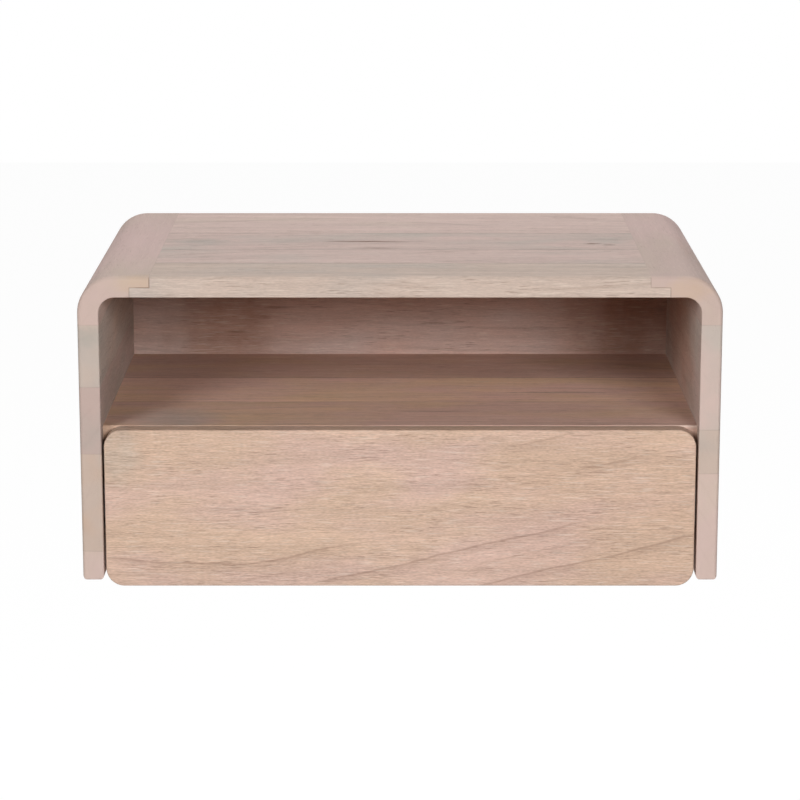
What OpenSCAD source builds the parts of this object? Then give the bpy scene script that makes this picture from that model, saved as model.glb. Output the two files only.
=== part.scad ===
// Floating side table: a board case with rounded, half-lapped corner blocks, an open niche and
// one wide drawer on telescopic ball-bearing slides, hung on an interlocking wall cleat.
// The wall is the plane y = 0 and the table stands out from it along -Y. The origin is the
// middle of the line of wall screws. Lengths are in millimetres.

/* [Case] */
// Width of the case over its sides
case_w = 600; // [540:10:800]
// Depth of the case from the wall to its front edges
case_d = 380; // [360:5:450]
// Height of the sides from their lower ends to the top
case_h = 291.5; // [275:0.5:340]
// Thickness of the top and side boards
board_t = 20; // [18:0.5:24]
// Outer radius of the upper corners
corner_r = 35; // [28:0.5:42]
// Arris radius of the outer front edge
edge_r_outer = 3.5; // [1:0.5:6]
// Arris radius of the inner front edge
edge_r_inner = 1.2; // [0.4:0.2:2.4]
// Arris radius of the rear edges
edge_r_back = 1; // [0.4:0.2:2.4]
// Rounding of the lower ends of the sides, seen from the front
foot_r = 4.5; // [1:0.5:7]

/* [Corner blocks] */
// Depth of the block down the side, from the top to its edge joint
block_drop = 46; // [43:0.5:60]
// Reach of the block's upper tongue from the outer side face
lap_long = 67.5; // [60:0.5:90]
// Reach of the block's lower shoulder from the outer side face
lap_short = 49; // [43:0.5:56]
// Thickness of the upper tongue of the half lap
lap_t = 10.5; // [6:0.5:13]

/* [Boards glued up from staves] */
// First seam of the top, from the front edge
top_seam_front = 72; // [50:1:110]
// Second seam of the top, from the front edge
top_seam_middle = 148; // [120:1:200]
// Third seam of the top, from the front edge
top_seam_back = 248; // [210:1:330]
// First seam of the left side under the corner block, from the top
left_seam_upper = 105; // [80:1:125]
// Second seam of the left side, from the top
left_seam_middle = 169; // [140:1:190]
// Height of the lowest stave of the left side
left_foot_h = 28; // [20:0.5:50]
// First seam of the right side under the corner block, from the top
right_seam_upper = 146; // [110:1:147]
// Second seam of the right side, from the top
right_seam_lower = 188; // [160:1:250]
// First seam of the shelf, from the front edge of the case
shelf_seam_front = 122; // [80:1:160]
// Second seam of the shelf, from the front edge of the case
shelf_seam_back = 234; // [190:1:290]

/* [Niche] */
// Clear height of the niche
niche_h = 126; // [110:0.5:135]
// Thickness of the shelf
shelf_t = 20; // [16:0.5:24]
// Arris radius of the shelf's upper front edge
shelf_edge_r = 1; // [0.4:0.2:2]
// Thickness of the back boards
back_t = 18; // [14:0.5:22]
// Depth of the recess behind the back boards
back_recess = 8; // [7.5:0.5:14]
// Seam between the upper and lower back boards, from the top
back_seam = 175; // [170:1:200]
// Height of the lower back board's edge over the lower ends of the sides
back_lift = 6; // [0:0.5:20]

/* [Drawer] */
// Thickness of the drawer front
front_t = 18; // [16:0.5:22]
// Radius of the drawer front's four corners
front_r = 17; // [8:0.5:24]
// Arris radius round the drawer front's face
front_edge_r = 1.5; // [0.5:0.25:3]
// Gap between the drawer front and each side
front_gap = 2.2; // [1:0.1:4]
// Gap between the drawer front and the shelf's front edge
shelf_gap = 2; // [1:0.1:5]
// Step from the shelf down to the top of the drawer front
front_sink = 0; // [0:0.1:3]
// Length by which the drawer front hangs below the sides, as a finger pull
front_lip = 6; // [2:0.5:15]
// Height of the finger room under the drawer box, behind the drawer front
finger_room = 22; // [16:0.5:32]
// Clearance between the drawer box and the shelf
box_top_gap = 5; // [2:0.5:10]
// Thickness of the drawer box's boards
side_t = 12; // [10:0.5:14]
// Thickness of the drawer's bottom panel
bottom_t = 6; // [4:0.5:8]
// Height of the bottom panel over the lower edge of the box
bottom_lift = 9; // [6:0.5:12]
// Depth of the groove that holds the bottom panel
groove_depth = 6; // [4:0.5:7]
// Clearance of the bottom panel in its groove
groove_play = 0.2; // [0.1:0.05:0.5]
// Number of dovetails at each corner of the box
tails = 3; // [2:1:4]
// Share of a dovetail's pitch that its narrow root takes
tail_share = 0.55; // [0.45:0.01:0.6]
// Slope of the dovetails, side to length
tail_slope = 0.167; // [0.1:0.01:0.2]
// Glue gap round each dovetail
glue_gap = 0.1; // [0.05:0.05:0.3]
// Radius of the soft stop pads
pad_r = 4; // [3:0.5:6]
// Gap left between the stop pads and the shelf
pad_gap = 0.3; // [0.1:0.1:0.5]

/* [Slides] */
// Step between the standard lengths of drawer slides; the longest that fits is used
slide_step = 50; // [25:25:100]
// Depth of the case that has to be left free of the slides
slide_free = 70; // [55:1:79]
// Height of the slides
slide_h = 45; // [42:0.5:50]
// Thickness of a closed slide, between case side and drawer side
slide_w = 12.7; // [12.5:0.1:14]
// Sheet thickness of the slide members
sheet_t = 1.2; // [1:0.1:1.4]
// Radius of the balls
ball_r = 1.6; // [1.5:0.05:1.7]
// Running gap between the balls and their tracks
track_play = 0.3; // [0.25:0.05:0.35]
// Sheet thickness of the ball cages
cage_t = 0.6; // [0.4:0.05:0.7]
// Gap between the ball cages and the members
cage_play = 0.4; // [0.35:0.05:0.5]
// Gap of a ball in its cage
pocket_play = 0.1; // [0.05:0.05:0.2]
// Balls in a row of a cage
balls_in_row = 6; // [3:1:9]
// Distance from ball to ball
ball_pitch = 12; // [8:0.5:16]
// Set-back of the slides behind the drawer front
slide_setback = 1; // [0.5:0.5:4]

/* [Wall cleat] */
// Distance from the top of the case down to the wall screws
cleat_drop = 75; // [74:0.5:90]
// Sheet thickness of the two cleats
cleat_t = 3; // [2.5:0.1:3.3]
// Height of the flat base of each cleat
cleat_base = 22; // [16:0.5:24]
// Length of the hooking lips
cleat_lip = 7; // [5:0.5:8]
// Width of the cleat on the wall
wall_cleat_w = 460; // [430:5:500]
// Width of the cleat on the case
case_cleat_w = 500; // [460:5:536]
// Distance between the two wall screws
wall_screw_pitch = 406.4; // [300:0.1:410]
// Radius of the holes for the wall screws
wall_hole_r = 2.75; // [2:0.25:4]

/* [Dowels and screws] */
// Radius of the dowels
dowel_r = 4; // [3:0.5:5]
// Length of a dowel inside the side board
dowel_in_side = 12; // [8:0.5:14]
// Length of a dowel inside the shelf or back board
dowel_in_board = 24; // [16:0.5:30]
// Glue gap round a dowel
dowel_gap = 0.05; // [0.05:0.01:0.2]
// Radius of the screw shanks
screw_r = 1.75; // [1.5:0.05:2]
// Radius of the screw heads
head_r = 3.6; // [3:0.1:4]
// Height of the countersunk screw heads
head_h = 2; // [1.6:0.1:2.4]
// Depth of the cross recess in the screw heads
recess_h = 1.1; // [0.6:0.1:1.4]
// Gap round a screw in its hole
screw_gap = 0.05; // [0.05:0.01:0.15]
// Length of the screws in the case sides and under the drawer slides
slide_screw_l = 11; // [8:0.5:12]
// Length of the screws that hold the drawer front
front_screw_l = 26; // [20:0.5:27]
// Length of the screws that hold the case cleat
cleat_screw_l = 16; // [10:0.5:16]
// Length of the screws from the back board into the shelf
shelf_screw_l = 45; // [35:1:55]

/* [Hidden] */
$fn = 64;

// Colours of the whitewashed wood, with its rosy, sandy and grey staves, and of the fittings
ROSY = "#cbb2a5";
SANDY = "#cfbaa4";
GREY_WOOD = "#c1b3a4";
FRONT_WOOD = "#cfb4a0";
PLAIN_WOOD = "#c9ad94";
STEEL = "#b7babd";
ALUMINIUM = "#c9cbcd";
BRASSY = "#b99a5e";
CLEAR_PAD = "#e4e6e6";

// Enough to cut clean through a surface
over = 1;

// Main planes of the case
half_w = case_w / 2;
inner_x = half_w - board_t;
top_z = cleat_drop;
under_z = top_z - board_t;
shelf_z = under_z - niche_h;
shelf_mid_z = shelf_z - shelf_t / 2;
foot_z = top_z - case_h;
front_y = -case_d;
back_rear_y = -back_recess;
back_face_y = -back_recess - back_t;

// Main planes of the drawer
front_top_z = shelf_z - front_sink;
front_bottom_z = foot_z - front_lip;
front_w = 2 * (inner_x - front_gap);
front_h = front_top_z - front_bottom_z;
box_front_y = front_y + front_t;
shelf_front_y = box_front_y + shelf_gap;
slide_l = slide_step * floor((case_d - slide_free) / slide_step);
box_w = 2 * (inner_x - slide_w);
box_d = slide_l + slide_setback;
box_back_y = box_front_y + box_d;
box_top_z = shelf_z - shelf_t - box_top_gap;
box_bottom_z = front_bottom_z + finger_room;
box_h = box_top_z - box_bottom_z;
slide_z = (box_top_z + box_bottom_z) / 2;
slide_y = box_front_y + slide_setback;
slide_mid_y = slide_y + slide_l / 2;

// Places of repeated fittings
slide_screw_ys = [for (share = [0.12, 0.5, 0.88]) slide_y + share * slide_l];
shelf_screw_xs = [for (share = [-0.6, 0, 0.6]) share * inner_x];
cleat_screw_xs = [for (share = [-0.85, -0.3, 0.3, 0.85]) share * case_cleat_w / 2];
front_screw_xs = [-0.6 * box_w / 2, 0.6 * box_w / 2];
front_screw_zs = [slide_z - box_h / 4, slide_z + box_h / 4];
pad_xs = [-0.85 * inner_x, 0.85 * inner_x];
shelf_seams = [front_y + shelf_seam_front, front_y + shelf_seam_back];
shelf_dowel_ys = [
    (shelf_front_y + shelf_seams[0]) / 2,
    (shelf_seams[0] + shelf_seams[1]) / 2,
    (shelf_seams[1] + back_face_y) / 2
];
back_seam_z = top_z - back_seam;
back_bottom_z = foot_z + back_lift;
upper_back_h = under_z - back_seam_z;
lower_back_h = back_seam_z - back_bottom_z;
back_dowel_zs = [
    under_z - 0.3 * upper_back_h, under_z - 0.6 * upper_back_h,
    back_seam_z - 0.25 * lower_back_h, back_seam_z - 0.75 * lower_back_h
];

// Tracks of a slide, seen along it: s runs from the case side to the drawer, z up from the middle
track_r = ball_r + track_play + sheet_t / 2;
step_angle = 40;
outer_ball = [sheet_t / 2 + track_r, slide_h / 2 - sheet_t / 2 - track_r];
inner_ball = outer_ball + 2 * track_r * [cos(step_angle), -sin(step_angle)];
middle_web_s = sheet_t + cage_t + 2 * cage_play + sheet_t / 2;
drawer_web_s = slide_w - sheet_t / 2;

// The cleats' hook: a 45 degree step between the base and the lip, on half the recess
cleat_step = back_recess / 2 + (back_recess / 2 - cleat_t) / 2;
cleat_bevel = cleat_t * (sqrt(2) - 1) / 2;
cleat_lip_z = cleat_step + cleat_bevel + cleat_lip;
cleat_mate_z = back_recess - cleat_step + cleat_bevel + cleat_lip_z;

// Extrusions of an outline along one axis. Seen along X the outline lies in y and z, seen
// along Y it lies in x and z.
module along_x(length) rotate([90, 0, 90]) linear_extrude(length, center = true) children();
module along_y(y0, y1) translate([0, y1, 0]) rotate([90, 0, 0]) linear_extrude(y1 - y0) children();
module along_z(z0, z1) translate([0, 0, z0]) linear_extrude(z1 - z0) children();
module span(x0, x1) translate([(x0 + x1) / 2, 0, 0]) along_x(x1 - x0) children();
module block(low, high) translate(low) cube(high - low);
module mirrored(axis) {
    children();
    mirror(axis) children();
}

// What a rounding of radius r takes off a corner at the origin of a shape in x > 0, y > 0
module corner_waste(r) {
    difference() {
        translate([-over, -over]) square(r + over);
        translate([r, r]) circle(r);
    }
}

// Section of the case boards: x from the inner face to the outer face, y from front to wall
module board_section() {
    difference() {
        translate([0, front_y]) square([board_t, case_d]);
        translate([board_t, front_y]) mirror([1, 0]) corner_waste(edge_r_outer);
        translate([0, front_y]) corner_waste(edge_r_inner);
        translate([board_t, 0]) mirror([1, 0]) mirror([0, 1]) corner_waste(edge_r_back);
        mirror([0, 1]) corner_waste(edge_r_back);
    }
}

// The part of the board section between two distances from the front edge
module board_strip(from, to) {
    intersection() {
        board_section();
        translate([-over, front_y + from]) square([board_t + 2 * over, to - from]);
    }
}

// The top's section lies on its side: y from front to wall, z up from the underside
module top_section(from, to) translate([0, under_z]) mirror([1, -1]) board_strip(from, to);

// One stave of the top, its ends half lapped under the corner blocks' tongues
module top_stave(from, to, tint) {
    color(tint) difference() {
        span(-(half_w - lap_short), half_w - lap_short) top_section(from, to);
        mirrored([1, 0, 0]) block(
            [half_w - lap_long, front_y - over, top_z - lap_t],
            [half_w, over, top_z + over]
        );
    }
}

// Corner block of the right side: a quarter turn, a leg down the side, and a tongue over the top
module corner_block() {
    translate([half_w - corner_r, 0, top_z - corner_r]) rotate([90, 0, 0])
        rotate_extrude(angle = 90) translate([corner_r - board_t, 0]) mirror([0, 1]) board_section();
    along_z(top_z - block_drop, top_z - corner_r) translate([inner_x, 0]) board_section();
    difference() {
        span(half_w - lap_long, half_w - corner_r) top_section(0, case_d);
        block(
            [half_w - lap_long - over, front_y - over, under_z - over],
            [half_w - lap_short, over, top_z - lap_t]
        );
    }
}

// Outlines that round the lower end of the right side, seen from the front and from the side
module foot_front_outline() {
    difference() {
        translate([inner_x, foot_z]) square([board_t, case_h]);
        translate([inner_x, foot_z]) corner_waste(foot_r);
        translate([half_w, foot_z]) mirror([1, 0]) corner_waste(foot_r);
    }
}
module foot_side_outline() {
    difference() {
        translate([front_y - over, foot_z]) square([case_d + 2 * over, case_h]);
        translate([front_y, foot_z]) corner_waste(edge_r_outer / 2);
    }
}

// Bores in the inner face of the right side: dowels of shelf and back boards, slide screws
module side_bores() {
    for (y = shelf_dowel_ys) dowel_bore(y, shelf_mid_z);
    for (z = back_dowel_zs) dowel_bore(back_face_y + back_t / 2, z);
    for (y = slide_screw_ys) cabinet_screw_place(y) screw_bore(slide_screw_l);
}

// One stave of the right side, between two distances from the top
module side_stave(from, to, tint) {
    color(tint) difference() {
        along_z(top_z - to, top_z - from) translate([inner_x, 0]) board_section();
        side_bores();
    }
}

// The lowest stave of the right side, rounded at its lower end
module foot_stave(from, tint) {
    color(tint) intersection() {
        side_stave(from, case_h, tint);
        along_y(front_y - over, over) foot_front_outline();
        span(inner_x - over, half_w + over) foot_side_outline();
    }
}

// Dowels lie along X, in the right side board and in what butts against it
module dowel(y, z, grow = 0) {
    translate([inner_x - dowel_in_board - grow, y, z]) rotate([0, 90, 0])
        cylinder(h = dowel_in_side + dowel_in_board + 2 * grow, r = dowel_r + min(grow, dowel_gap));
}
module dowel_bore(y, z) dowel(y, z, 0.5);

// A countersunk wood screw along -Z, the top of its head at the origin
module screw_body(length, grow) {
    tip = screw_r * 2;
    rotate_extrude() polygon([
        [0, grow], [head_r + grow, grow], [head_r + grow, 0], [screw_r + grow, -head_h],
        [screw_r + grow, tip - length], [0.3 + grow, -length - grow], [0, -length - grow]
    ]);
}
module screw(length) {
    color(STEEL) difference() {
        screw_body(length, 0);
        for (turn = [0, 90]) rotate([0, 0, turn])
            translate([-screw_r, -0.4, -recess_h]) cube([2 * screw_r, 0.8, recess_h + over]);
    }
}
module screw_bore(length) screw_body(length, screw_gap);

// Places of the screws, each with the screw's head towards +Z of the child
module cabinet_screw_place(y) translate([inner_x - sheet_t, y, slide_z]) rotate([0, -90, 0]) children();
module drawer_screw_place(y) translate([box_w / 2 + sheet_t, y, slide_z]) rotate([0, 90, 0]) children();
module front_screw_places() {
    for (x = front_screw_xs, z = front_screw_zs)
        translate([x, box_front_y + side_t, z]) rotate([-90, 0, 0]) children();
}
module shelf_screw_places() {
    for (x = shelf_screw_xs) translate([x, back_rear_y, shelf_mid_z]) rotate([-90, 0, 0]) children();
}
module cleat_screw_places() {
    for (x = cleat_screw_xs)
        translate([x, back_rear_y + cleat_t, cleat_base / 2 + cleat_mate_z + cleat_base / 2])
            rotate([-90, 0, 0]) children();
}

// One stave of the shelf; the front one has a small arris
module shelf_stave(y0, y1, edge_r, tint) {
    color(tint) difference() {
        span(-inner_x, inner_x) difference() {
            translate([y0, shelf_z - shelf_t]) square([y1 - y0, shelf_t]);
            if (edge_r > 0) translate([y0, shelf_z]) mirror([0, 1]) corner_waste(edge_r);
        }
        mirrored([1, 0, 0]) for (y = shelf_dowel_ys) dowel_bore(y, shelf_mid_z);
        shelf_screw_places() screw_bore(shelf_screw_l);
    }
}

// A back board; where it meets the top its corners clear the round of the corner blocks
module back_board(z0, z1, ease_r, tint) {
    color(tint) difference() {
        along_y(back_face_y, back_rear_y) difference() {
            translate([-inner_x, z0]) square([2 * inner_x, z1 - z0]);
            if (ease_r > 0) mirrored([1, 0])
                translate([inner_x, z1]) mirror([1, 0]) mirror([0, 1]) corner_waste(ease_r);
        }
        mirrored([1, 0, 0]) for (z = back_dowel_zs) dowel_bore(back_face_y + back_t / 2, z);
        shelf_screw_places() screw_bore(shelf_screw_l);
        cleat_screw_places() screw_bore(cleat_screw_l);
    }
}

// Profile of a cleat seen along it: u off the wall, z up from the root of its step
module cleat_profile() {
    polygon([
        [0, -cleat_base], [cleat_t, -cleat_base], [cleat_t, -cleat_bevel],
        [cleat_t + cleat_step, cleat_step - cleat_bevel],
        [cleat_t + cleat_step, cleat_lip_z + cleat_t],
        [cleat_step, cleat_lip_z], [cleat_step, cleat_step + cleat_bevel], [0, cleat_bevel]
    ]);
}

// The wall screws lie half way up the wall cleat's base
module wall_cleat() {
    color(ALUMINIUM) difference() {
        translate([0, 0, cleat_base / 2])
            span(-wall_cleat_w / 2, wall_cleat_w / 2) mirror([1, 0]) cleat_profile();
        for (side = [-1, 1]) translate([side * wall_screw_pitch / 2, over, 0]) rotate([90, 0, 0])
            cylinder(h = cleat_t + 2 * over, r = wall_hole_r);
    }
}

// The case cleat is the same profile turned over, its lip hooked behind the wall cleat's lip
module case_cleat() {
    color(ALUMINIUM) difference() {
        translate([0, back_rear_y, cleat_base / 2 + cleat_mate_z])
            span(-case_cleat_w / 2, case_cleat_w / 2) mirror([0, 1]) cleat_profile();
        cleat_screw_places() screw_bore(cleat_screw_l);
    }
}

// Centre lines of the rolled slide members, upper half, from the web outwards
function arc(centre, r, a0, a1, steps) =
    [for (i = [0:steps]) let (a = a0 + (a1 - a0) * i / steps) centre + r * [cos(a), sin(a)]];
hood_end_angle = 20;
function cabinet_line() = arc(outer_ball, track_r, 180, hood_end_angle, 8);

cup_angle = 290;
bend_turn = cup_angle - 180;
cup_start = outer_ball + track_r * [cos(cup_angle), sin(cup_angle)];
bend_r = (cup_start[0] - middle_web_s) / (1 + cos(bend_turn));
bend_centre = [middle_web_s + bend_r, cup_start[1] - bend_r * sin(bend_turn)];
function middle_line() = concat(
    arc(bend_centre, bend_r, 180, bend_turn + 20, 2),
    arc(outer_ball, track_r, cup_angle, 360 - step_angle, 2),
    arc(inner_ball, track_r, 160 - step_angle, hood_end_angle, 5)
);

lip_angle = 60;
lip_end_angle = 235;
lip_r = (drawer_web_s - inner_ball[0] - track_r * cos(lip_angle)) / (1 + cos(lip_angle));
lip_centre = inner_ball + (track_r + lip_r) * [cos(lip_angle), -sin(lip_angle)];
function drawer_line() = concat(
    arc(lip_centre, lip_r, 0, 180 - lip_angle, 6),
    arc(inner_ball, track_r, 345 - lip_angle, lip_end_angle, 3)
);

// A sheet of even thickness round a centre line: each point moves along its mitre to both sides
function unit(v) = v / norm(v);
function mitre(line, i) = let (
        before = unit(line[max(i, 1)] - line[max(i, 1) - 1]),
        after = unit(line[min(i + 1, len(line) - 1)] - line[min(i + 1, len(line) - 1) - 1]),
        along = unit(before + after),
        normal = [-along[1], along[0]]
    ) normal / (normal * [-before[1], before[0]]);
module sheet_along(line, t) {
    polygon(concat(
        [for (i = [0:len(line) - 1]) line[i] + mitre(line, i) * t / 2],
        [for (i = [len(line) - 1:-1:0]) line[i] - mitre(line, i) * t / 2]
    ));
}
function both_halves(line) = concat(
    [for (i = [len(line) - 1:-1:0]) [line[i][0], -line[i][1]]],
    line
);

// Slide parts are drawn for the right side, s measured from the case side towards the drawer
module slide_place() translate([inner_x, 0, slide_z]) mirror([1, 0, 0]) children();
module slide_member(line) {
    slide_place() along_y(slide_y, slide_y + slide_l) sheet_along(both_halves(line), sheet_t);
}
module cabinet_member() {
    color(STEEL) difference() {
        slide_member(cabinet_line());
        for (y = slide_screw_ys) cabinet_screw_place(y) screw_bore(slide_screw_l);
    }
}
module intermediate_member() color(STEEL) slide_member(middle_line());
module drawer_member() {
    color(STEEL) difference() {
        slide_member(drawer_line());
        for (y = slide_screw_ys) drawer_screw_place(y) screw_bore(slide_screw_l);
    }
}

// Balls stand in rows above and below the middle of the slide, in the middle of its length
module ball_places(ball) {
    slide_place() for (i = [0:balls_in_row - 1], up = [-1, 1])
        translate([ball[0], slide_mid_y + (i - (balls_in_row - 1) / 2) * ball_pitch, up * ball[1]])
            children();
}
module balls(ball) color(STEEL) ball_places(ball) sphere(ball_r);

// A cage is a channel whose flanges pass through the balls, with a pocket round each ball
module ball_cage(ball, web_s, flange_drop) {
    rim = 0.5;
    reach = ball[0] + ball_r + rim - web_s;
    height = ball[1] - flange_drop + cage_t / 2;
    length = (balls_in_row - 1) * ball_pitch + 2 * ball_r + 4 * rim;
    color(BRASSY) difference() {
        slide_place() along_y(slide_mid_y - length / 2, slide_mid_y + length / 2)
            translate([web_s, 0]) mirrored([0, 1]) {
                square([cage_t, height]);
                translate([0, height - cage_t]) square([reach, cage_t]);
            }
        ball_places([ball[0], ball[1] - flange_drop])
            cylinder(h = 2 * ball_r, r = ball_r + pocket_play, center = true);
    }
}
module outer_cage() ball_cage(outer_ball, sheet_t + cage_play, 0);
module inner_cage() ball_cage(inner_ball, middle_web_s + sheet_t / 2 + cage_play, 0.35);

module cabinet_screws() for (y = slide_screw_ys) cabinet_screw_place(y) screw(slide_screw_l);
module drawer_screws() for (y = slide_screw_ys) drawer_screw_place(y) screw(slide_screw_l);

// Section across the drawer front's rim: x out to the edge, y back from the face
module rim_section(length) {
    difference() {
        square([length, front_t]);
        translate([length, 0]) mirror([1, 0]) corner_waste(front_edge_r);
    }
}

// The drawer front: a plate with round corners and an arris that follows its outline
module drawer_front() {
    half = [front_w / 2, front_h / 2];
    color(FRONT_WOOD) difference() {
        translate([0, front_y, front_top_z - half[1]]) {
            along_x(front_w - 2 * front_r) mirrored([0, 1]) mirror([1, -1]) rim_section(half[1]);
            mirrored([1, 0, 0]) along_z(front_r - half[1], half[1] - front_r)
                translate([half[0] - front_r, 0]) rim_section(front_r);
            mirrored([1, 0, 0]) mirrored([0, 0, 1])
                translate([half[0] - front_r, 0, half[1] - front_r]) rotate([90, 0, 0])
                    rotate_extrude(angle = 90) mirror([0, 1]) rim_section(front_r);
        }
        front_screw_places() screw_bore(front_screw_l);
    }
}

// Dovetails, seen along X: d runs out from the inner face of the box's front or back board
tail_pitch = box_h / tails;
tail_root = tail_pitch * tail_share;
module tails(reach, grow) {
    for (i = [0:tails - 1]) translate([0, box_bottom_z + (i + 0.5) * tail_pitch]) polygon([
        [0, -tail_root / 2 - grow], [reach, -tail_root / 2 - reach * tail_slope - grow],
        [reach, tail_root / 2 + reach * tail_slope + grow], [0, tail_root / 2 + grow]
    ]);
}
module tails_both_ends(reach, grow) {
    translate([box_front_y + side_t, 0]) mirror([1, 0]) tails(reach, grow);
    translate([box_back_y - side_t, 0]) tails(reach, grow);
}

// The space of the bottom panel, with its grooves
module bottom_panel(play) {
    reach = groove_depth - side_t - groove_play + play;
    block(
        [-box_w / 2 - reach, box_front_y - reach, box_bottom_z + bottom_lift - play],
        [box_w / 2 + reach, box_back_y + reach, box_bottom_z + bottom_lift + bottom_t + play]
    );
}
module drawer_bottom() color(PLAIN_WOOD) bottom_panel(0);

// Right side board of the box, tails at both ends
module drawer_side() {
    color(PLAIN_WOOD) difference() {
        span(box_w / 2 - side_t, box_w / 2) {
            translate([box_front_y + side_t, box_bottom_z]) square([box_d - 2 * side_t, box_h]);
            tails_both_ends(side_t, 0);
        }
        bottom_panel(groove_play);
        for (y = slide_screw_ys) drawer_screw_place(y) screw_bore(slide_screw_l);
    }
}

// Front or back board of the box, with the sockets of the tails
module box_end(y0) {
    color(PLAIN_WOOD) difference() {
        block([-box_w / 2, y0, box_bottom_z], [box_w / 2, y0 + side_t, box_top_z]);
        mirrored([1, 0, 0]) span(box_w / 2 - side_t - glue_gap, box_w / 2 + over)
            tails_both_ends(side_t + over, glue_gap);
        bottom_panel(groove_play);
        front_screw_places() screw_bore(front_screw_l);
    }
}

module drawer_front_screws() front_screw_places() screw(front_screw_l);

// Soft pads behind the drawer front, which meet the shelf's front edge
module stop_pads() {
    color(CLEAR_PAD) for (x = pad_xs) translate([x, box_front_y, shelf_mid_z]) rotate([-90, 0, 0])
        rotate_extrude() difference() {
            square([pad_r, shelf_gap - pad_gap]);
            translate([pad_r, shelf_gap - pad_gap]) mirror([1, 0]) mirror([0, 1])
                corner_waste((shelf_gap - pad_gap) / 2);
        }
}

module left() mirror([1, 0, 0]) children();

top_stave(0, top_seam_front, SANDY);  // top_stave_front
top_stave(top_seam_front, top_seam_middle, ROSY);  // top_stave_inner_front
top_stave(top_seam_middle, top_seam_back, GREY_WOOD);  // top_stave_inner_back
top_stave(top_seam_back, case_d, ROSY);  // top_stave_back
left() color(ROSY) corner_block();  // left_corner_block
color(SANDY) corner_block();  // right_corner_block
left() side_stave(block_drop, left_seam_upper, GREY_WOOD);  // left_side_stave_upper
left() side_stave(left_seam_upper, left_seam_middle, ROSY);  // left_side_stave_middle
left() side_stave(left_seam_middle, case_h - left_foot_h, SANDY);  // left_side_stave_lower
left() foot_stave(case_h - left_foot_h, ROSY);  // left_side_stave_foot
side_stave(block_drop, right_seam_upper, ROSY);  // right_side_stave_upper
side_stave(right_seam_upper, right_seam_lower, GREY_WOOD);  // right_side_stave_middle
foot_stave(right_seam_lower, SANDY);  // right_side_stave_foot
shelf_stave(shelf_front_y, shelf_seams[0], shelf_edge_r, ROSY);  // shelf_stave_front
shelf_stave(shelf_seams[0], shelf_seams[1], 0, SANDY);  // shelf_stave_middle
shelf_stave(shelf_seams[1], back_face_y, 0, ROSY);  // shelf_stave_back
back_board(back_seam_z, under_z, corner_r - board_t + 0.5, ROSY);  // back_board_upper
back_board(back_bottom_z, back_seam_z, 0, ROSY);  // back_board_lower
mirrored([1, 0, 0]) color(PLAIN_WOOD) for (y = shelf_dowel_ys) dowel(y, shelf_mid_z);  // shelf_dowels
mirrored([1, 0, 0]) color(PLAIN_WOOD) for (z = back_dowel_zs) dowel(back_face_y + back_t / 2, z);  // back_dowels
shelf_screw_places() screw(shelf_screw_l);  // shelf_screws
wall_cleat();
case_cleat();
cleat_screw_places() screw(cleat_screw_l);  // case_cleat_screws
left() cabinet_member();  // left_slide_cabinet_member
left() cabinet_screws();  // left_slide_cabinet_screws
left() outer_cage();  // left_outer_ball_cage
left() balls(outer_ball);  // left_outer_balls
left() intermediate_member();  // left_slide_intermediate_member
left() inner_cage();  // left_inner_ball_cage
left() balls(inner_ball);  // left_inner_balls
left() drawer_member();  // left_slide_drawer_member
left() drawer_screws();  // left_slide_drawer_screws
cabinet_member();  // right_slide_cabinet_member
cabinet_screws();  // right_slide_cabinet_screws
outer_cage();  // right_outer_ball_cage
balls(outer_ball);  // right_outer_balls
intermediate_member();  // right_slide_intermediate_member
inner_cage();  // right_inner_ball_cage
balls(inner_ball);  // right_inner_balls
drawer_member();  // right_slide_drawer_member
drawer_screws();  // right_slide_drawer_screws
drawer_front();
box_end(box_front_y);  // drawer_box_front
left() drawer_side();  // drawer_left_side
drawer_side();  // drawer_right_side
box_end(box_back_y - side_t);  // drawer_back
drawer_bottom();
drawer_front_screws();
stop_pads();  // drawer_stop_pads
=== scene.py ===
import math
from collections import namedtuple

import bpy
from bpy.props import FloatProperty, FloatVectorProperty, PointerProperty
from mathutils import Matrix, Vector


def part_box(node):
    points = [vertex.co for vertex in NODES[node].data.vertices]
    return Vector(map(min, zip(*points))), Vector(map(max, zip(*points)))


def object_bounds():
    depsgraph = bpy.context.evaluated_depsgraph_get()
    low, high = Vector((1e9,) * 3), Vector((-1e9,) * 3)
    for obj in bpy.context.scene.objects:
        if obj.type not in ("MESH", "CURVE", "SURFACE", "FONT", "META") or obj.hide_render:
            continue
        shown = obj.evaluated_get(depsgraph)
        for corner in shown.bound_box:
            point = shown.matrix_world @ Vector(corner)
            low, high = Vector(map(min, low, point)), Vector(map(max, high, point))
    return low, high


bl_info = {
    "name": "Floating side table",
    "version": (1, 0, 0),
    "blender": (4, 5, 0),
    "location": "3D View > Sidebar > Side Table",
    "description": "Finishes and studio for a wall-hung side table with a niche and a drawer",
    "category": "Object",
}

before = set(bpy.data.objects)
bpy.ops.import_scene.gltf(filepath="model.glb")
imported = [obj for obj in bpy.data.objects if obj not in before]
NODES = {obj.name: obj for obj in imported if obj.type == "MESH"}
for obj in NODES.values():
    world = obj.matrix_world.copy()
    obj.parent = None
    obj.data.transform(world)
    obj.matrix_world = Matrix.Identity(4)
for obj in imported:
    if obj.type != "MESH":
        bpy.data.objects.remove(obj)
CAD_BOX = [list(corner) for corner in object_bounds()]
MM = 1000  # millimetres in a metre
WHITE = (1, 1, 1, 1)


def linear(colour):
    """Scene-linear values of a colour written as display values from 0 to 1."""
    return [c / 12.92 if c <= 0.04045 else ((c + 0.055) / 1.055) ** 2.4 for c in colour]


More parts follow.
